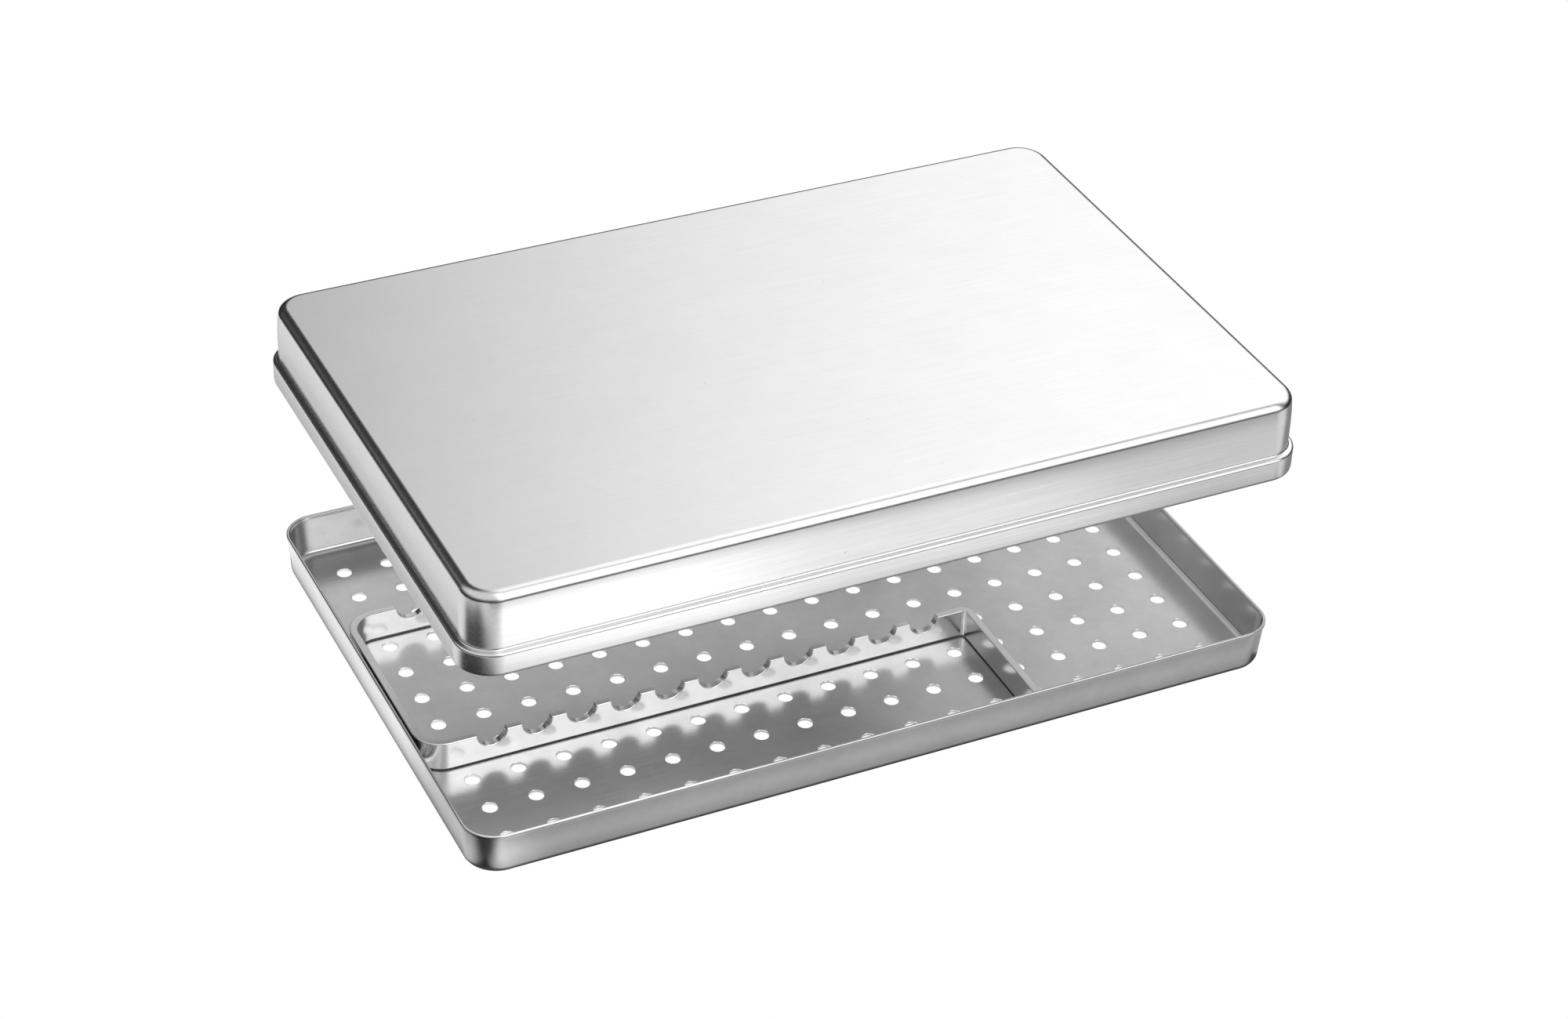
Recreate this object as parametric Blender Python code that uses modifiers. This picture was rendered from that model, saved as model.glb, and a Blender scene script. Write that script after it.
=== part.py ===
# Perforated instrument tray with a notched instrument rack and a stepped lid.
# Metres, +Z up, origin at the middle of the tray's underside, +X along the tray's long side.
import math

import bmesh
import bpy
from mathutils import Matrix, Vector

# Tray: one pressed steel sheet, open at the top.
TRAY_LENGTH = 0.284
TRAY_WIDTH = 0.183
TRAY_HEIGHT = 0.016
TRAY_SHEET = 0.0010
TRAY_CORNER_RADIUS = 0.011
TRAY_FILLET = 0.0030
TRAY_DRAFT = 0.0010

# Floor perforation.
HOLE_DIAMETER = 0.0050
HOLE_PITCH_X = 0.01557
HOLE_PITCH_Y = 0.01500
HOLE_EDGE_MARGIN = 0.0120
HOLE_SIDES = 8

# Instrument rack: one flat bar bent on edge, lying loose on the tray's floor.
RACK_BAR = 0.0027
RACK_HEIGHT = 0.0100
RACK_LENGTH = 0.1947
RACK_SPAN = 0.0758
RACK_END_RADIUS = 0.0100
RACK_FOOT_RADIUS = 0.0040
RACK_FLOOR_GAP = 0.0005
RACK_SIDE_GAP = 0.0015
RACK_WALL_GAP = 0.0014

# Notches that hold the handles, the same in both long walls.
NOTCH_DIAMETER = 0.0102
NOTCH_PITCH = 0.01531
NOTCH_FIRST = 0.0236
NOTCH_END_MARGIN = 0.0160
NOTCH_SINK = 0.0002
NOTCH_SIDES = 20

# Lid: a stepped cover whose skirt goes round the tray's rim.
LID_SHEET = 0.0008
LID_RIM_CLEARANCE = 0.0004
LID_HEIGHT = 0.0276
LID_SKIRT = 0.0080
LID_STEP = 0.0019
LID_TOP_FILLET = 0.0030
LID_STEP_FILLET = 0.0011
LID_SEAT_GAP = 0.0003
LID_LIFT = 0.0690

CORNER_STEPS = 5
FILLET_STEPS = 3

# Sizes that follow from the ones above.
FLOOR_TOP = TRAY_SHEET
TRAY_FLOOR_HALF_X = TRAY_LENGTH / 2 - TRAY_DRAFT - TRAY_SHEET
TRAY_FLOOR_HALF_Y = TRAY_WIDTH / 2 - TRAY_DRAFT - TRAY_SHEET
HOLE_COLUMNS = 2 * int((TRAY_FLOOR_HALF_X - HOLE_EDGE_MARGIN) / HOLE_PITCH_X) + 1
HOLE_ROWS = 2 * int((TRAY_FLOOR_HALF_Y - HOLE_EDGE_MARGIN) / HOLE_PITCH_Y) + 1
NOTCH_COUNT = int((RACK_LENGTH - NOTCH_FIRST - NOTCH_END_MARGIN) / NOTCH_PITCH) + 1
LID_HALF_X = TRAY_LENGTH / 2 + LID_RIM_CLEARANCE + LID_SHEET
LID_HALF_Y = TRAY_WIDTH / 2 + LID_RIM_CLEARANCE + LID_SHEET
LID_CORNER_RADIUS = TRAY_CORNER_RADIUS + LID_RIM_CLEARANCE + LID_SHEET
LID_CLOSED = TRAY_HEIGHT + LID_SEAT_GAP - (LID_SKIRT - LID_SHEET)
LID_REST = LID_CLOSED + LID_LIFT


def clearScene():
    for obj in list(bpy.data.objects):
        bpy.data.objects.remove(obj, do_unlink=True)


def makeCollection(name):
    collection = bpy.data.collections.new(name)
    bpy.context.scene.collection.children.link(collection)
    return collection


def makeMaterial(name, colour, roughness, metallic):
    material = bpy.data.materials.new(name)
    material.use_nodes = True
    shader = material.node_tree.nodes["Principled BSDF"]
    shader.inputs["Base Color"].default_value = (*colour, 1.0)
    shader.inputs["Roughness"].default_value = roughness
    shader.inputs["Metallic"].default_value = metallic
    return material


def addObject(name, bm, collection, location=(0, 0, 0), material=None):
    mesh = bpy.data.meshes.new(name)
    bm.to_mesh(mesh)
    bm.free()
    obj = bpy.data.objects.new(name, mesh)
    obj.location = location
    collection.objects.link(obj)
    if material:
        mesh.materials.append(material)
    return obj


def shadeRound(obj, degrees=35):
    obj.data.shade_smooth()
    obj.data.set_sharp_from_angle(angle=math.radians(degrees))


def addSolidify(obj, thickness, offset):
    solidify = obj.modifiers.new("sheet", "SOLIDIFY")
    solidify.thickness = thickness
    solidify.offset = offset
    solidify.use_even_offset = True
    solidify.use_rim = True


def addCut(obj, cutter):
    cut = obj.modifiers.new("cut " + cutter.name, "BOOLEAN")
    cut.operation = "DIFFERENCE"
    cut.object = cutter
    cut.solver = "EXACT"


def makeCutter(name, bm, collection, location=(0, 0, 0)):
    cutter = addObject(name, bm, collection, location)
    cutter.hide_render = True
    cutter.display_type = "WIRE"
    return cutter


def arc(centreRadius, centreZ, radius, start, end):
    """Points (radius, z) on a fillet, angles in degrees from straight out."""
    points = []
    for step in range(FILLET_STEPS + 1):
        angle = math.radians(start + (end - start) * step / FILLET_STEPS)
        points.append((centreRadius + radius * math.cos(angle), centreZ + radius * math.sin(angle)))
    return points


def startPlate(bm, centreX, centreY, radius, z):
    """A flat rounded rectangle, the middle of a pressed sheet."""
    size = Matrix.Diagonal((2 * (centreX + radius), 2 * (centreY + radius), 1, 1))
    bmesh.ops.create_grid(bm, x_segments=1, y_segments=1, size=0.5, matrix=size)
    bmesh.ops.bevel(bm, geom=bm.verts[:], offset=radius, segments=CORNER_STEPS, profile=0.5,
                    affect="VERTICES")
    bmesh.ops.translate(bm, vec=(0, 0, z), verts=bm.verts[:])
    return [edge for edge in bm.edges if edge.is_boundary]


def growRing(bm, edges, centreX, centreY, radius, z):
    """The next ring of the sheet, drawn out to a radius about the corner centres."""
    grown = bmesh.ops.extrude_edge_only(bm, edges=edges)["geom"]
    for vert in (item for item in grown if isinstance(item, bmesh.types.BMVert)):
        centre = Vector((math.copysign(centreX, vert.co.x), math.copysign(centreY, vert.co.y)))
        outward = (vert.co.xy - centre).normalized()
        vert.co.xy = centre + outward * radius
        vert.co.z = z
    return [item for item in grown if isinstance(item, bmesh.types.BMEdge) and item.is_boundary]


def pressSheet(halfX, halfY, cornerRadius, profile, faceUp):
    """A pressed shell: a flat plate drawn down or up through the profile's rings."""
    bm = bmesh.new()
    centreX = halfX - cornerRadius
    centreY = halfY - cornerRadius
    edges = startPlate(bm, centreX, centreY, *profile[0])
    for radius, z in profile[1:]:
        edges = growRing(bm, edges, centreX, centreY, radius, z)
    bmesh.ops.recalc_face_normals(bm, faces=bm.faces[:])
    plate = max(bm.faces, key=lambda face: face.calc_area())
    if (plate.normal.z > 0) != faceUp:
        bmesh.ops.reverse_faces(bm, faces=bm.faces[:])
    return bm


def trayProfile():
    wallRadius = TRAY_CORNER_RADIUS - TRAY_DRAFT
    fillet = arc(wallRadius - TRAY_FILLET, TRAY_FILLET, TRAY_FILLET, -90, 0)
    return fillet + [(TRAY_CORNER_RADIUS, TRAY_HEIGHT)]


def lidProfile():
    upper = LID_CORNER_RADIUS - LID_STEP
    top = arc(upper - LID_TOP_FILLET, LID_HEIGHT - LID_TOP_FILLET, LID_TOP_FILLET, 90, 0)
    shoulder = arc(LID_CORNER_RADIUS - LID_STEP_FILLET, LID_SKIRT - LID_STEP_FILLET,
                   LID_STEP_FILLET, 90, 0)
    return top + [(upper, LID_SKIRT)] + shoulder + [(LID_CORNER_RADIUS, 0.0)]


def holePunches(collection):
    bm = bmesh.new()
    for column in range(HOLE_COLUMNS):
        for row in range(HOLE_ROWS):
            x = (column - (HOLE_COLUMNS - 1) / 2) * HOLE_PITCH_X
            y = (row - (HOLE_ROWS - 1) / 2) * HOLE_PITCH_Y
            bmesh.ops.create_cone(bm, cap_ends=True, segments=HOLE_SIDES, depth=TRAY_SHEET * 4,
                                  radius1=HOLE_DIAMETER / 2, radius2=HOLE_DIAMETER / 2,
                                  matrix=Matrix.Translation((x, y, TRAY_SHEET / 2)))
    return makeCutter("hole_punches", bm, collection)


def makeTray(collection, cutters):
    bm = pressSheet(TRAY_LENGTH / 2, TRAY_WIDTH / 2, TRAY_CORNER_RADIUS, trayProfile(), False)
    steel = makeMaterial("satin_steel_tray", (0.52, 0.53, 0.54), 0.30, 1.0)
    tray = addObject("tray_base", bm, collection, material=steel)
    shadeRound(tray)
    addSolidify(tray, TRAY_SHEET, -1.0)
    addCut(tray, holePunches(cutters))
    return tray


def roundedPath(points, radii, steps):
    """A path through right-angled corners, each turned with its own radius."""
    path = [points[0]]
    for index, radius in enumerate(radii, start=1):
        corner = points[index]
        back = (points[index - 1] - corner).normalized()
        ahead = (points[index + 1] - corner).normalized()
        centre = corner + (back + ahead) * radius
        for step in range(steps + 1):
            angle = math.pi / 2 * step / steps
            path.append(centre - ahead * radius * math.cos(angle) - back * radius * math.sin(angle))
    path.append(points[-1])
    return path


def rackPath():
    """Middle line of the bent bar: foot, notched wall, end, notched wall, foot."""
    left = RACK_BAR / 2
    right = RACK_LENGTH - RACK_BAR / 2
    wall = RACK_SPAN / 2 - RACK_BAR / 2
    foot = TRAY_FLOOR_HALF_Y - RACK_WALL_GAP
    points = [Vector(p) for p in ((right, -foot), (right, -wall), (left, -wall),
                                  (left, wall), (right, wall), (right, foot))]
    bend = RACK_END_RADIUS - RACK_BAR / 2
    turn = RACK_FOOT_RADIUS - RACK_BAR / 2
    return roundedPath(points, (turn, bend, bend, turn), CORNER_STEPS)


def notchCutters(collection, location):
    bm = bmesh.new()
    turnX = Matrix.Rotation(math.pi / 2, 4, "X")
    for index in range(NOTCH_COUNT):
        place = Matrix.Translation((NOTCH_FIRST + index * NOTCH_PITCH, 0, RACK_HEIGHT + NOTCH_SINK))
        bmesh.ops.create_cone(bm, cap_ends=True, segments=NOTCH_SIDES, depth=RACK_SPAN * 1.1,
                              radius1=NOTCH_DIAMETER / 2, radius2=NOTCH_DIAMETER / 2,
                              matrix=place @ turnX)
    return makeCutter("notch_rollers", bm, collection, location)


def makeRack(collection, cutters):
    bm = bmesh.new()
    verts = [bm.verts.new((point.x, point.y, 0)) for point in rackPath()]
    edges = [bm.edges.new(pair) for pair in zip(verts, verts[1:])]
    raised = bmesh.ops.extrude_edge_only(bm, edges=edges)["geom"]
    bmesh.ops.translate(bm, vec=(0, 0, RACK_HEIGHT),
                        verts=[item for item in raised if isinstance(item, bmesh.types.BMVert)])
    location = (-TRAY_FLOOR_HALF_X + RACK_SIDE_GAP, 0, FLOOR_TOP + RACK_FLOOR_GAP)
    steel = makeMaterial("polished_steel_rack", (0.62, 0.63, 0.64), 0.18, 1.0)
    rack = addObject("instrument_rack", bm, collection, location, steel)
    shadeRound(rack)
    addSolidify(rack, RACK_BAR, 0.0)
    addCut(rack, notchCutters(cutters, location))
    return rack


def makeLid(collection):
    bm = pressSheet(LID_HALF_X, LID_HALF_Y, LID_CORNER_RADIUS, lidProfile(), True)
    steel = makeMaterial("polished_steel_lid", (0.60, 0.61, 0.62), 0.22, 1.0)
    lid = addObject("lid", bm, collection, (0, 0, LID_REST), steel)
    shadeRound(lid)
    addSolidify(lid, LID_SHEET, -1.0)
    return lid


def main():
    clearScene()
    parts = makeCollection("instrument_tray")
    cutters = makeCollection("cutters")
    makeTray(parts, cutters)
    makeRack(parts, cutters)
    makeLid(parts)


main()
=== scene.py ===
# Steel instrument tray with a notched rack lying in it and its stepped lid held above.
import math

import bmesh
import bpy
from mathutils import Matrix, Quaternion, Vector


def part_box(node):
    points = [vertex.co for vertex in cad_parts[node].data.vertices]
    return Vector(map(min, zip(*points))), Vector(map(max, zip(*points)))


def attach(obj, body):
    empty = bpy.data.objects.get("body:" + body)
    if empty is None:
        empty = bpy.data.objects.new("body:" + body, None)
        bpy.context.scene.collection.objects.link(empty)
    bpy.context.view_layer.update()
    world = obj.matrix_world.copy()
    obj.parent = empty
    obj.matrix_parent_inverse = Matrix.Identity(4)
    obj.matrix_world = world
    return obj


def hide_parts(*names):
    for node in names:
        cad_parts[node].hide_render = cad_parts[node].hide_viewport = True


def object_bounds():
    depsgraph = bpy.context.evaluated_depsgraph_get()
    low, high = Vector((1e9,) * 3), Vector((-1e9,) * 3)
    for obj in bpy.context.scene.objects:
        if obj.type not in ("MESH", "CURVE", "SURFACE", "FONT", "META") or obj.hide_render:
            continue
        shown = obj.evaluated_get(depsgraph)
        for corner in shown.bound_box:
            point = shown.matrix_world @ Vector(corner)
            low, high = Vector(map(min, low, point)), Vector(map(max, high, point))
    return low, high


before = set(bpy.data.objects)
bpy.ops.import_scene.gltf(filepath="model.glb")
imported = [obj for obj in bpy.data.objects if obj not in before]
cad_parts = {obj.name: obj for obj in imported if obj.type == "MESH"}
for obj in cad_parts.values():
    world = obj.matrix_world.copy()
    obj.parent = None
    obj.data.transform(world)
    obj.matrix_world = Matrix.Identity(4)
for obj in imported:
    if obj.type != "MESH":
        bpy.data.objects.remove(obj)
cadLow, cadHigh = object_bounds()  # box of the plain model
middle = (cadLow + cadHigh) / 2
near = 1e-5  # two places closer than this are the same
print("frame loaded:", ", ".join(sorted(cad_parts)))


def linearColour(hexText):
    channels = []
    for start in (0, 2, 4):
        value = int(hexText[start:start + 2], 16) / 255
        channels.append(value / 12.92 if value <= 0.04045 else ((value + 0.055) / 1.055) ** 2.4)
    return (*channels, 1.0)


def clearSelection():
    bpy.ops.object.select_all(action="DESELECT")


def makeActive(piece):
    clearSelection()
    piece.select_set(True)
    bpy.context.view_layer.objects.active = piece


def addBlock(name, low, high):
    clearSelection()
    bpy.ops.mesh.primitive_cube_add(size=1, location=(Vector(low) + Vector(high)) / 2,
                                    scale=Vector(high) - Vector(low))
    block = bpy.context.object
    block.name = name
    block.data.name = name
    bpy.ops.object.transform_apply(location=True, rotation=True, scale=True)
    return block


def startEditing(piece):
    makeActive(piece)
    bpy.ops.object.mode_set(mode="EDIT")


def stopEditing():
    bpy.ops.object.mode_set(mode="OBJECT")


def pick(piece, kind, test):
    bpy.ops.mesh.select_mode(type=kind)
    bpy.ops.mesh.select_all(action="DESELECT")
    mesh = bmesh.from_edit_mesh(piece.data)
    items = {"VERT": mesh.verts, "EDGE": mesh.edges, "FACE": mesh.faces}[kind]
    for item in items:
        item.select_set(bool(test(item)))
    mesh.select_flush_mode()
    bmesh.update_edit_mesh(piece.data)


def edgeAt(z, edge):
    return all(abs(vert.co.z - z) < 2 * near for vert in edge.verts)


def upright(edge):
    return abs(edge.verts[0].co.z - edge.verts[1].co.z) > 10 * near


def applyAll(piece):
    makeActive(piece)
    for modifier in list(piece.modifiers):
        bpy.ops.object.modifier_apply(modifier=modifier.name)


def thicken(piece, sheet, side):
    solidify = piece.modifiers.new("sheet", "SOLIDIFY")
    solidify.thickness = sheet
    solidify.offset = side
    solidify.use_even_offset = True
    applyAll(piece)


def cutWith(piece, cutter):
    cut = piece.modifiers.new("cut", "BOOLEAN")
    cut.operation = "DIFFERENCE"
    cut.solver = "EXACT"
    cut.object = cutter
    applyAll(piece)
    bpy.data.objects.remove(cutter, do_unlink=True)


def repeatAlong(piece, step, count):
    array = piece.modifiers.new("row", "ARRAY")
    array.use_relative_offset = False
    array.use_constant_offset = True
    array.constant_offset_displace = step
    array.count = count
    applyAll(piece)


def softenEdges(piece, width, segments, degrees):
    bevel = piece.modifiers.new("soft edge", "BEVEL")
    bevel.width = width
    bevel.segments = segments
    bevel.limit_method = "ANGLE"
    bevel.angle_limit = math.radians(degrees)
    bevel.use_clamp_overlap = False
    applyAll(piece)


def finishShading(piece, degrees=38):
    makeActive(piece)
    bpy.ops.object.shade_smooth_by_angle(angle=math.radians(degrees))
    weighted = piece.modifiers.new("even shading", "WEIGHTED_NORMAL")
    weighted.mode = "FACE_AREA"
    weighted.weight = 80
    weighted.keep_sharp = True
    applyAll(piece)


traySizes = {
    "sheet": 0.0010,
    "cornerRadius": 0.0110,
    "cornerSteps": 14,
    "bottomFillet": 0.0030,
    "filletSteps": 7,
    "draft": 0.0008,
    "bead": 0.0003,  # how far the rim stands out past the wall
    "beadHeight": 0.0015,
    "beadRise": 0.0004,  # height over which it swells out
    "rimRound": 0.00038,
    "holeAcross": 0.0050,
    "holeStep": (0.01557, 0.01500),
    "holeCount": (17, 11),
    "holeSides": 32,
    "holeEdge": 0.00012,
}


def buildTray(sizes):
    low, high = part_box("tray_base")
    bead = Vector((sizes["bead"], sizes["bead"], 0))
    wallTop = high.z - sizes["beadHeight"]
    tray = addBlock("trayShell", low + bead, Vector((high.x, high.y, wallTop)) - bead)
    startEditing(tray)
    pick(tray, "EDGE", upright)
    bpy.ops.mesh.bevel(offset=sizes["cornerRadius"], segments=sizes["cornerSteps"], affect="EDGES")
    pick(tray, "FACE", lambda face: face.normal.z < -0.9)
    narrow = [1 - 2 * sizes["draft"] / (high[axis] - low[axis]) for axis in (0, 1)]
    bpy.ops.transform.resize(value=(*narrow, 1))
    pick(tray, "EDGE", lambda edge: edgeAt(low.z, edge))
    bpy.ops.mesh.bevel(offset=sizes["bottomFillet"], segments=sizes["filletSteps"], affect="EDGES")
    pick(tray, "FACE", lambda face: face.normal.z > 0.9)
    bpy.ops.mesh.delete(type="FACE")
    pick(tray, "EDGE", lambda edge: edgeAt(wallTop, edge))
    bpy.ops.mesh.extrude_edges_move(TRANSFORM_OT_translate={"value": (0, 0, sizes["beadRise"])})
    widen = [(high[axis] - low[axis]) / (high[axis] - low[axis] - 2 * sizes["bead"]) for axis in (0, 1)]
    bpy.ops.transform.resize(value=(*widen, 1))
    lipHeight = sizes["beadHeight"] - sizes["beadRise"]
    bpy.ops.mesh.extrude_edges_move(TRANSFORM_OT_translate={"value": (0, 0, lipHeight)})
    stopEditing()
    thicken(tray, sizes["sheet"], -1)
    startEditing(tray)
    pick(tray, "EDGE", lambda edge: edgeAt(high.z, edge) and not crossesSheet(edge))
    bpy.ops.mesh.bevel(offset=sizes["rimRound"], segments=4, affect="EDGES")
    stopEditing()
    cutWith(tray, holePunches(sizes))
    softenEdges(tray, sizes["holeEdge"], 1, 60)
    finishShading(tray)
    return tray


def crossesSheet(edge, longest=0.0016):  # an edge of the rim that runs through the sheet's thickness
    return edge.calc_length() < longest and len(edge.link_faces) == 2 and all(
        abs(face.normal.z) > 0.9 for face in edge.link_faces)


def holePunches(sizes):
    stepX, stepY = sizes["holeStep"]
    columns, rows = sizes["holeCount"]
    clearSelection()
    corner = (-stepX * (columns - 1) / 2, -stepY * (rows - 1) / 2, sizes["sheet"] / 2)
    bpy.ops.mesh.primitive_cylinder_add(vertices=sizes["holeSides"], radius=sizes["holeAcross"] / 2,
                                        depth=sizes["sheet"] * 4, location=corner)
    punch = bpy.context.object
    bpy.ops.object.transform_apply(location=True, rotation=True, scale=True)
    repeatAlong(punch, (stepX, 0, 0), columns)
    repeatAlong(punch, (0, stepY, 0), rows)
    return punch


tray = buildTray(traySizes)
print("tray pressed and perforated:", len(tray.data.polygons), "faces")


rackSizes = {
    "bar": 0.0027,
    "span": 0.0758,  # over the two notched walls
    "endRadius": 0.0100,
    "footRadius": 0.0040,
    "bendSteps": 12,
    "notchAcross": 0.0102,
    "notchStep": 0.01531,
    "notchCount": 11,
    "firstNotch": 0.0236,  # from the rack's left face
    "notchSink": 0.0002,
    "notchSides": 56,
    "edge": 0.00035,
}


def buildRack(sizes):
    low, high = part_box("instrument_rack")
    half = sizes["bar"] / 2
    left, right = low.x + half, high.x - half
    wall = sizes["span"] / 2 - half
    clearSelection()
    bpy.ops.mesh.primitive_plane_add(size=1, location=((left + right) / 2, 0, low.z))
    rack = bpy.context.object
    rack.name = rack.data.name = "rackBar"
    rack.scale = (right - left, 2 * wall, 1)
    bpy.ops.object.transform_apply(location=True, rotation=True, scale=True)
    startEditing(rack)  # the plane's edges become the rounded end and the two walls
    pick(rack, "FACE", lambda face: True)
    bpy.ops.mesh.delete(type="ONLY_FACE")
    pick(rack, "EDGE", lambda edge: all(vert.co.x > right - near for vert in edge.verts))
    bpy.ops.mesh.delete(type="EDGE")
    for side in (-1, 1):
        pick(rack, "VERT", lambda vert: vert.co.x > right - near and vert.co.y * side > wall - near)
        run = (high.y - wall) * side
        bpy.ops.mesh.extrude_vertices_move(TRANSFORM_OT_translate={"value": (0, run, 0)})
    pick(rack, "EDGE", lambda edge: True)
    bpy.ops.mesh.extrude_edges_move(TRANSFORM_OT_translate={"value": (0, 0, high.z - low.z)})
    for place, radius in ((left, sizes["endRadius"]), (right, sizes["footRadius"])):
        pick(rack, "EDGE", lambda edge: upright(edge) and abs(edge.verts[0].co.x - place) < near
             and abs(edge.verts[0].co.y) < wall + near)
        bpy.ops.mesh.bevel(offset=radius - half, segments=sizes["bendSteps"], affect="EDGES")
    pick(rack, "FACE", lambda face: True)
    bpy.ops.mesh.normals_make_consistent(inside=False)
    stopEditing()
    thicken(rack, sizes["bar"], 0)
    cutWith(rack, notchRollers(sizes, low, high))
    softenEdges(rack, sizes["edge"], 3, 40)
    finishShading(rack)
    return rack


def notchRollers(sizes, low, high):
    clearSelection()
    place = (low.x + sizes["firstNotch"], 0, high.z + sizes["notchSink"])
    bpy.ops.mesh.primitive_cylinder_add(vertices=sizes["notchSides"], radius=sizes["notchAcross"] / 2,
                                        depth=sizes["span"] * 1.1, location=place,
                                        rotation=(math.pi / 2, 0, 0))
    roller = bpy.context.object
    bpy.ops.object.transform_apply(location=True, rotation=True, scale=True)
    repeatAlong(roller, (sizes["notchStep"], 0, 0), sizes["notchCount"])
    return roller


rack = buildRack(rackSizes)
print("rack bent and notched:", len(rack.data.polygons), "faces")


lidSizes = {
    "sheet": 0.0008,
    "cornerRadius": 0.0122,
    "cornerSteps": 16,
    "skirt": 0.0080,
    "step": 0.0019,
    "draw": ((0.0075, 0.0), (0.0055, 0.00012), (0.0066, 0.00045)),  # rise and lean of the wall above the step
    "topFillet": 0.0030,
    "topSteps": 8,
    "stepFillet": 0.0011,
    "crease": 0.0007,
    "hem": (0.0011, 0.00013),  # height of the skirt's lowest band and how far it turns in
    "rimRound": 0.00022,
}


def buildLid(sizes):
    low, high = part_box("lid")
    stepZ = low.z + sizes["skirt"]
    lid = addBlock("lidShell", low, (high.x, high.y, stepZ))
    startEditing(lid)
    pick(lid, "EDGE", upright)
    bpy.ops.mesh.bevel(offset=sizes["cornerRadius"], segments=sizes["cornerSteps"], affect="EDGES")
    pick(lid, "FACE", lambda face: face.normal.z > 0.9)
    bpy.ops.mesh.inset(thickness=sizes["step"], depth=0)
    for rise, lean in sizes["draw"]:
        bpy.ops.mesh.extrude_region_move(TRANSFORM_OT_translate={"value": (0, 0, rise)})
        pull = [1 - 2 * lean / (high[axis] - low[axis] - 2 * sizes["step"]) for axis in (0, 1)]
        bpy.ops.transform.resize(value=(*pull, 1))
    pick(lid, "EDGE", lambda edge: edgeAt(high.z, edge))
    bpy.ops.mesh.bevel(offset=sizes["topFillet"], segments=sizes["topSteps"], affect="EDGES")
    pick(lid, "EDGE", lambda edge: edgeAt(stepZ, edge) and touchesWallBelow(edge, stepZ))
    bpy.ops.mesh.bevel(offset=sizes["stepFillet"], segments=4, affect="EDGES")
    pick(lid, "EDGE", lambda edge: edgeAt(stepZ, edge) and touchesWallAbove(edge, stepZ))
    bpy.ops.mesh.bevel(offset=sizes["crease"], segments=4, affect="EDGES")
    hemHeight, hemLean = sizes["hem"]
    bpy.ops.mesh.select_all(action="SELECT")
    bpy.ops.mesh.bisect(plane_co=(0, 0, low.z + hemHeight), plane_no=(0, 0, 1))
    pick(lid, "FACE", lambda face: face.normal.z < -0.9)
    pull = [1 - 2 * hemLean / (high[axis] - low[axis]) for axis in (0, 1)]
    bpy.ops.transform.resize(value=(*pull, 1))
    bpy.ops.mesh.delete(type="FACE")
    stopEditing()
    thicken(lid, sizes["sheet"], -1)
    startEditing(lid)
    pick(lid, "EDGE", lambda edge: edgeAt(low.z, edge) and not crossesSheet(edge))
    bpy.ops.mesh.bevel(offset=sizes["rimRound"], segments=3, affect="EDGES")
    stopEditing()
    finishShading(lid)
    return lid


def wallMiddles(edge):
    return [face.calc_center_median().z for face in edge.link_faces if abs(face.normal.z) < 0.5]


def touchesWallBelow(edge, z):
    return any(height < z - 10 * near for height in wallMiddles(edge))


def touchesWallAbove(edge, z):
    return any(height > z + 10 * near for height in wallMiddles(edge))


lid = buildLid(lidSizes)
print("lid drawn:", len(lid.data.polygons), "faces")


def addNode(tree, kind, settings, links=None):  # settings are inputs or attributes, links are sources
    node = tree.nodes.new(kind)
    for name, value in settings.items():
        if isinstance(name, int) or (name in node.inputs and not hasattr(node, name)):
            node.inputs[name].default_value = value
        else:
            setattr(node, name, value)
    for name, source in (links or {}).items():
        tree.links.new(source, node.inputs[name])
    return node


pitColour = "5A5A5A"


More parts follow.
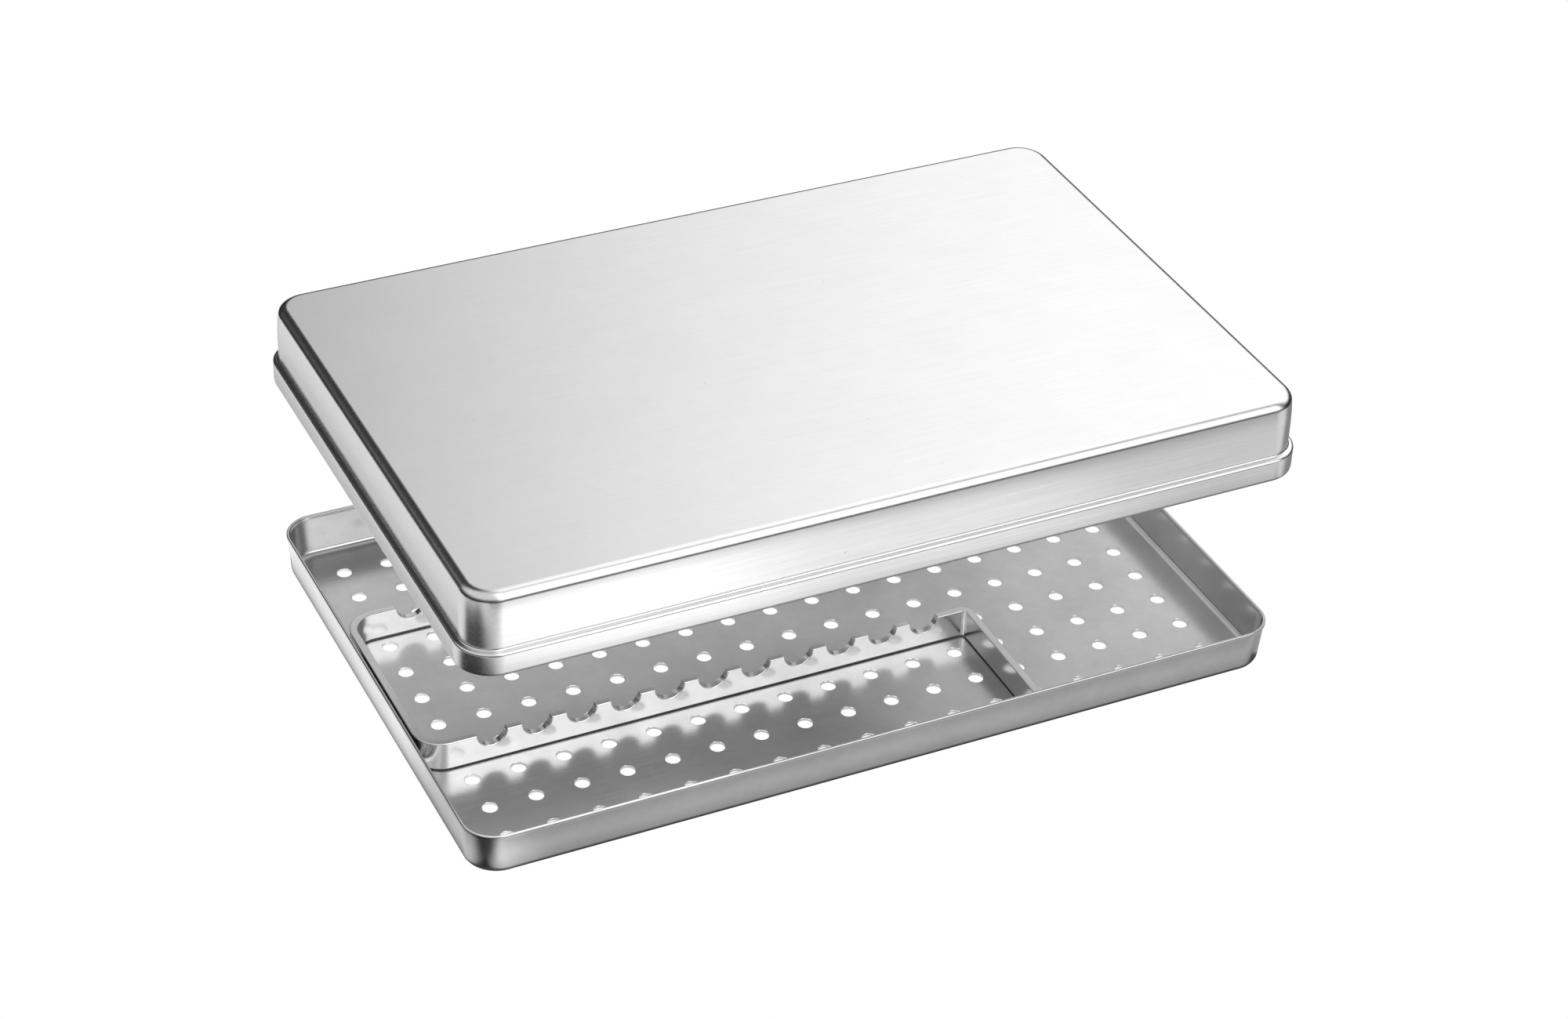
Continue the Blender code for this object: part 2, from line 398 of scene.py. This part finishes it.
def makeSteel(finish):
    steel = bpy.data.materials.new(finish["material"])
    steel.use_nodes = True
    tree = steel.node_tree
    tree.nodes.clear()
    place = addNode(tree, "ShaderNodeTexCoord", {}).outputs["Object"]
    grainX, grainY = finish["grain"]
    stretch = addNode(tree, "ShaderNodeMapping", {"Scale": (1 / grainX, 1 / grainY, 1 / min(grainX, grainY))},
                      {"Vector": place})
    brushing = addNode(tree, "ShaderNodeTexNoise", {"Scale": 1.0, "Detail": 3.0, "Roughness": 0.6},
                       {"Vector": stretch.outputs[0]})
    mottle = addNode(tree, "ShaderNodeTexNoise", {"Scale": 1 / finish["mottle"], "Detail": 9.0,
                                                  "Roughness": 0.72}, {"Vector": place})
    specks = addNode(tree, "ShaderNodeTexVoronoi", {"Scale": 1 / finish["speckStep"]}, {"Vector": place})
    speckMask = addNode(tree, "ShaderNodeMapRange", {"From Min": finish["speckSize"], "From Max": 0.0},
                        {"Value": specks.outputs["Distance"]})
    tint = addNode(tree, "ShaderNodeValToRGB", {}, {"Fac": mottle.outputs["Fac"]})
    tint.color_ramp.elements[0].position = 0.30
    tint.color_ramp.elements[0].color = linearColour(finish["dark"])
    tint.color_ramp.elements[1].position = 0.70
    tint.color_ramp.elements[1].color = linearColour(finish["light"])
    speckShare = addNode(tree, "ShaderNodeMath", {"operation": "MULTIPLY", 1: finish["speckDark"]},
                         {0: speckMask.outputs[0]})
    speckled = addNode(tree, "ShaderNodeMixRGB", {"Color2": linearColour(pitColour)},
                       {"Fac": speckShare.outputs[0], "Color1": tint.outputs[0]})
    rough = addNode(tree, "ShaderNodeMapRange", {"From Min": 0.3, "From Max": 0.7,
                                                 "To Min": finish["rough"][0], "To Max": finish["rough"][1]},
                    {"Value": brushing.outputs["Fac"]})
    wave = addNode(tree, "ShaderNodeTexNoise", {"Scale": 1 / finish["wave"], "Detail": 1.0},
                   {"Vector": place})
    waveBump = addNode(tree, "ShaderNodeBump", {"Strength": 1.0, "Distance": finish["waveDepth"]},
                       {"Height": wave.outputs["Fac"]})
    grainBump = addNode(tree, "ShaderNodeBump", {"Strength": 1.0, "Distance": finish["grainDepth"]},
                        {"Height": brushing.outputs["Fac"], "Normal": waveBump.outputs[0]})
    speckBump = addNode(tree, "ShaderNodeBump", {"Strength": 1.0, "Distance": finish["speckDepth"],
                                                 "invert": True},
                        {"Height": speckMask.outputs[0], "Normal": grainBump.outputs[0]})
    shader = addNode(tree, "ShaderNodeBsdfPrincipled", {"Metallic": 1.0},
                     {"Base Color": speckled.outputs[0], "Roughness": rough.outputs[0],
                      "Normal": speckBump.outputs[0]})
    addNode(tree, "ShaderNodeOutputMaterial", {}, {"Surface": shader.outputs[0]})
    return steel


lidFinish = {
    "material": "satin drawn 18/8 stainless steel sheet",  # soft, even mirror with faint lengthwise lines
    "dark": "D5D5D5",
    "light": "D9D9D9",
    "rough": (0.23, 0.28),
    "grain": (0.0300, 0.0006),  # a line 30 mm long and 0.6 mm wide, about ten times wider than a real one
    "grainDepth": 0.0000006,
    "mottle": 0.020,  # 20 mm clouds in the colour
    "wave": 0.120,  # 120 mm swell left by the press
    "waveDepth": 0.000015,
    "speckStep": 0.0140,  # one pit in every 14 mm
    "speckSize": 0.024,  # its radius as a share of that step, 0.34 mm
    "speckDepth": 0.00002,
    "speckDark": 0.55,
}
trayFinish = {
    "material": "mill finish 18/8 stainless steel sheet",  # cloudy grey mirror, small pits from use
    "dark": "BDBDBD",
    "light": "CFCFCF",
    "rough": (0.20, 0.25),
    "grain": (0.0200, 0.0005),  # 20 mm by 0.5 mm, drawn coarser than real so that it shows
    "grainDepth": 0.0000004,
    "mottle": 0.030,  # 30 mm clouds
    "wave": 0.060,  # 60 mm swell
    "waveDepth": 0.00004,
    "speckStep": 0.0090,  # one pit in every 9 mm
    "speckSize": 0.034,  # 0.31 mm
    "speckDepth": 0.00002,
    "speckDark": 0.55,
}
rackFinish = {
    "material": "tumble polished 18/8 stainless steel bar",  # brighter and sharper than the two sheets
    "dark": "D6D6D6",
    "light": "DEDEDE",
    "rough": (0.17, 0.23),
    "grain": (0.0150, 0.0004),  # 15 mm by 0.4 mm, drawn coarser than real so that it shows
    "grainDepth": 0.0000004,
    "mottle": 0.015,  # 15 mm clouds
    "wave": 0.040,  # 40 mm swell
    "waveDepth": 0.00003,
    "speckStep": 0.0060,  # one pit in every 6 mm
    "speckSize": 0.020,  # 0.12 mm
    "speckDepth": 0.00001,
    "speckDark": 0.40,
}
for piece, body, node, slot, finish in (
        (tray, "tray", "tray_base", "tray_steel", trayFinish),
        (rack, "rack", "instrument_rack", "rack_steel", rackFinish),
        (lid, "cover", "lid", "lid_steel", lidFinish)):
    piece.data.materials.clear()
    piece.data.materials.append(makeSteel(finish))
    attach(piece, body)
    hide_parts(node)
print("steel finishes on")


studio = {
    "floorReach": 4.0,
    "floorGlow": 1.0,
    # painted shade and painted light in the floor's glow, seen only in reflections: middle x, y, half sizes,
    # softness in metres, and the share of light left there in reflections
    "floorPaintedShadeAndLight": (
        (0.024, 0.0, 0.150, 0.118, 0.014, 0.46),  # half shade round the tray
        (0.0, 0.0, 0.1425, 0.0920, 0.0015, 0.15),  # contact shade under it
        (0.0, 0.0, 0.1340, 0.0840, 0.0030, 12.5),  # painted light: white again below the perforations
        (0.030, -0.1500, 0.190, 0.026, 0.008, 0.10),  # painted shade mirrored by the tray's front wall
        (-0.1720, 0.120, 0.009, 0.170, 0.003, 0.15),  # this and the rest: painted shade and painted light, seen as dark and light bands in the walls
        (0.010, -0.0985, 0.150, 0.0030, 0.0030, 1.45),
        (-0.152, 0.030, 0.008, 0.120, 0.004, 1.40),
        (-0.235, -0.115, 0.085, 0.085, 0.025, 0.03),
        (-0.152, -0.100, 0.014, 0.014, 0.006, 0.10),
        (0.020, -0.220, 0.120, 0.060, 0.030, 1.42),
        (-0.055, -0.235, 0.065, 0.045, 0.025, 1.40),
        (0.165, -0.266, 0.105, 0.014, 0.012, 0.40),
        (0.080, -0.360, 0.350, 0.068, 0.015, 0.22),
        (0.200, 0.280, 0.330, 0.140, 0.015, 0.30),
        (0.420, 0.000, 0.240, 0.130, 0.015, 0.30),
    ),
    "glowReach": (0.42, 0.40, 0.04),  # half sizes and softness of the lit sheet that the steel mirrors
    "card": ((-0.141, -0.091), (0.250, 0.230), 0.0775, 0.64),
    "cardReach": 0.055,  # it lights only what lies this far below it, so a shut lid does not mirror it
    # painted shade and painted light in the card's glow, mirrored by the steel; columns as for the floor
    "cardPaintedShadeAndLight": (
        (-0.030, 0.022, 0.090, 0.034, 0.024, 0.40),
        (-0.078, -0.0515, 0.055, 0.0395, 0.008, 3.4),
        (0.190, 0.050, 0.060, 0.070, 0.030, 1.30),
        (-0.090, 0.180, 0.060, 0.050, 0.020, 1.28),
        (0.100, 0.165, 0.024, 0.055, 0.010, 0.10),
        (0.202, 0.060, 0.012, 0.080, 0.006, 1.50),
    ),
    "backdrop": "F4F4F4",
    # azimuth from +Y towards +X with its half width and softness, elevation with the same, strength
    "panels": (
        ((62, 43.5, 15.5), (46, 30, 6), 1.53),
        ((153, 24, 8), (38, 38, 8), 1.75),
        ((-125, 80, 15), (46, 30, 12), 0.85),
        ((0, 190, 5), (90, 16, 8), 0.60),
    ),
    "fill": 0.03,
}


def mathNode(tree, operation, settings, links):
    return addNode(tree, "ShaderNodeMath", {"operation": operation, **settings}, links).outputs[0]


def softWindow(tree, value, centre, half, soft, turning=False):  # 1 near the centre, 0 past the soft edge
    away = mathNode(tree, "SUBTRACT", {1: centre}, {0: value})
    if turning:
        away = mathNode(tree, "WRAP", {1: math.pi, 2: -math.pi}, {0: away})
    size = mathNode(tree, "ABSOLUTE", {}, {0: away})
    window = addNode(tree, "ShaderNodeMapRange",
                     {"interpolation_type": "SMOOTHSTEP", "From Min": half + soft, "From Max": half - soft},
                     {"Value": size})
    return window.outputs[0]


def softBox(tree, place, centre, half, soft):
    parts = addNode(tree, "ShaderNodeSeparateXYZ", {}, {0: place})
    across = softWindow(tree, parts.outputs[0], centre[0], half[0], soft)
    along = softWindow(tree, parts.outputs[1], centre[1], half[1], soft)
    return mathNode(tree, "MULTIPLY", {}, {0: across, 1: along})


def shadedLevel(tree, place, patches, level, strength):
    for centreX, centreY, halfX, halfY, soft, share in patches:
        patch = softBox(tree, place, (centreX, centreY), (halfX, halfY), soft)
        shade = addNode(tree, "ShaderNodeMapRange", {"To Min": strength, "To Max": share * strength},
                        {"Value": patch}).outputs[0]
        strength = 1.0
        if level is not None:
            shade = mathNode(tree, "MULTIPLY", {}, {0: level, 1: shade})
        level = shade
    return level


def makeFloor(settings):
    clearSelection()
    bpy.ops.mesh.primitive_plane_add(size=2 * settings["floorReach"], location=(0, 0, -0.0002))
    floor = bpy.context.object
    floor.name = "floor"
    paintedFloorGlow = bpy.data.materials.new("matt white paper")
    paintedFloorGlow.use_nodes = True
    tree = paintedFloorGlow.node_tree
    tree.nodes.clear()
    place = addNode(tree, "ShaderNodeTexCoord", {}).outputs["Object"]
    reachX, reachY, fade = settings["glowReach"]
    level = softBox(tree, place, (0, 0), (reachX, reachY), fade)
    # painted shade and painted light in the glow that the steel mirrors; the camera sees an even glow
    level = shadedLevel(tree, place, settings["floorPaintedShadeAndLight"], level, 1.0)
    mirrored = addNode(tree, "ShaderNodeEmission", {"Color": (1, 1, 1, 1)}, {"Strength": level})
    seen = addNode(tree, "ShaderNodeEmission", {"Color": (1, 1, 1, 1), "Strength": settings["floorGlow"]})
    lightPath = addNode(tree, "ShaderNodeLightPath", {})
    chosen = addNode(tree, "ShaderNodeMixShader", {}, {0: lightPath.outputs["Is Camera Ray"],
                                                       1: mirrored.outputs[0], 2: seen.outputs[0]})
    addNode(tree, "ShaderNodeOutputMaterial", {}, {"Surface": chosen.outputs[0]})
    floor.data.materials.append(paintedFloorGlow)
    return floor


def makeCard(settings):
    low, high, height, strength = settings["card"]
    clearSelection()
    centre = [(low[axis] + high[axis]) / 2 for axis in (0, 1)]
    bpy.ops.mesh.primitive_plane_add(size=1, location=(*centre, height))
    card = bpy.context.object
    card.name = "reflectorCard"
    card.scale = (high[0] - low[0], high[1] - low[1], 1)
    bpy.ops.object.transform_apply(location=True, rotation=True, scale=True)
    paintedCardGlow = bpy.data.materials.new("white card glow with painted shade and light")
    paintedCardGlow.use_nodes = True
    tree = paintedCardGlow.node_tree
    tree.nodes.clear()
    place = addNode(tree, "ShaderNodeTexCoord", {}).outputs["Object"]
    # painted shade and painted light in the card's glow
    level = shadedLevel(tree, place, settings["cardPaintedShadeAndLight"], None, strength)
    glow = addNode(tree, "ShaderNodeEmission", {"Color": (1, 1, 1, 1)}, {"Strength": level})
    clear = addNode(tree, "ShaderNodeBsdfTransparent", {})
    towards = addNode(tree, "ShaderNodeNewGeometry", {}).outputs["Incoming"]
    steep = addNode(tree, "ShaderNodeSeparateXYZ", {}, {0: towards}).outputs["Z"]
    length = addNode(tree, "ShaderNodeLightPath", {}).outputs["Ray Length"]
    drop = mathNode(tree, "MULTIPLY", {}, {0: length, 1: steep})  # negative where the light goes down
    below = mathNode(tree, "LESS_THAN", {1: -settings["cardReach"]}, {0: drop})
    chosen = addNode(tree, "ShaderNodeMixShader", {}, {0: below, 1: clear.outputs[0], 2: glow.outputs[0]})
    addNode(tree, "ShaderNodeOutputMaterial", {}, {"Surface": chosen.outputs[0]})
    card.data.materials.append(paintedCardGlow)
    card.visible_camera = False
    return card


def makeStudioLight(settings):
    world = bpy.data.worlds.new("studio")
    bpy.context.scene.world = world
    world.use_nodes = True
    tree = world.node_tree
    tree.nodes.clear()
    direction = addNode(tree, "ShaderNodeTexCoord", {}).outputs["Generated"]
    parts = addNode(tree, "ShaderNodeSeparateXYZ", {}, {0: direction})
    azimuth = mathNode(tree, "ARCTAN2", {}, {0: parts.outputs["X"], 1: parts.outputs["Y"]})
    elevation = mathNode(tree, "ARCSINE", {}, {0: parts.outputs["Z"]})
    total = None
    for across, upwards, strength in settings["panels"]:
        shares = {}
        for position, (angle, limits) in enumerate(((azimuth, across), (elevation, upwards))):
            centre, half, soft = map(math.radians, limits)
            shares[position] = softWindow(tree, angle, centre, half, soft, turning=True)
        panel = mathNode(tree, "MULTIPLY", {}, shares)
        before = {2: settings["fill"]} if total is None else {}
        total = mathNode(tree, "MULTIPLY_ADD", {1: strength, **before},
                         {0: panel} if total is None else {0: panel, 2: total})
    light = addNode(tree, "ShaderNodeBackground", {"Color": (1, 1, 1, 1)}, {"Strength": total})
    seen = addNode(tree, "ShaderNodeBackground", {"Color": linearColour(settings["backdrop"])})
    lightPath = addNode(tree, "ShaderNodeLightPath", {})
    chosen = addNode(tree, "ShaderNodeMixShader", {}, {0: lightPath.outputs["Is Camera Ray"],
                                                       1: light.outputs[0], 2: seen.outputs[0]})
    addNode(tree, "ShaderNodeOutputWorld", {}, {"Surface": chosen.outputs[0]})


cameraView = {
    "azimuth": -26.64,
    "elevation": 34.84,
    "roll": 2.38,
    "distance": 1.1694,
    "lens": 81.70,
    "aim": (0.0008, -0.0057, -0.0071),  # from the middle of the whole object
}


def placeCamera(settings):
    azimuth, elevation = math.radians(settings["azimuth"]), math.radians(settings["elevation"])
    back = Vector((math.sin(azimuth) * math.cos(elevation), -math.cos(azimuth) * math.cos(elevation),
                   math.sin(elevation)))
    clearSelection()
    bpy.ops.object.camera_add(location=middle + Vector(settings["aim"]) + back * settings["distance"])
    camera = bpy.context.object
    camera.rotation_mode = "QUATERNION"
    turn = Quaternion((0, 0, 1), math.radians(settings["roll"]))
    camera.rotation_quaternion = (-back).to_track_quat("-Z", "Y") @ turn
    camera.data.lens = settings["lens"]
    camera.data.sensor_width = 36
    camera.data.clip_end = 20
    bpy.context.scene.camera = camera
    return camera


makeFloor(studio)
makeCard(studio)
makeStudioLight(studio)
placeCamera(cameraView)
bpy.context.scene.view_settings.view_transform = "Standard"
print("floor, light and camera placed")
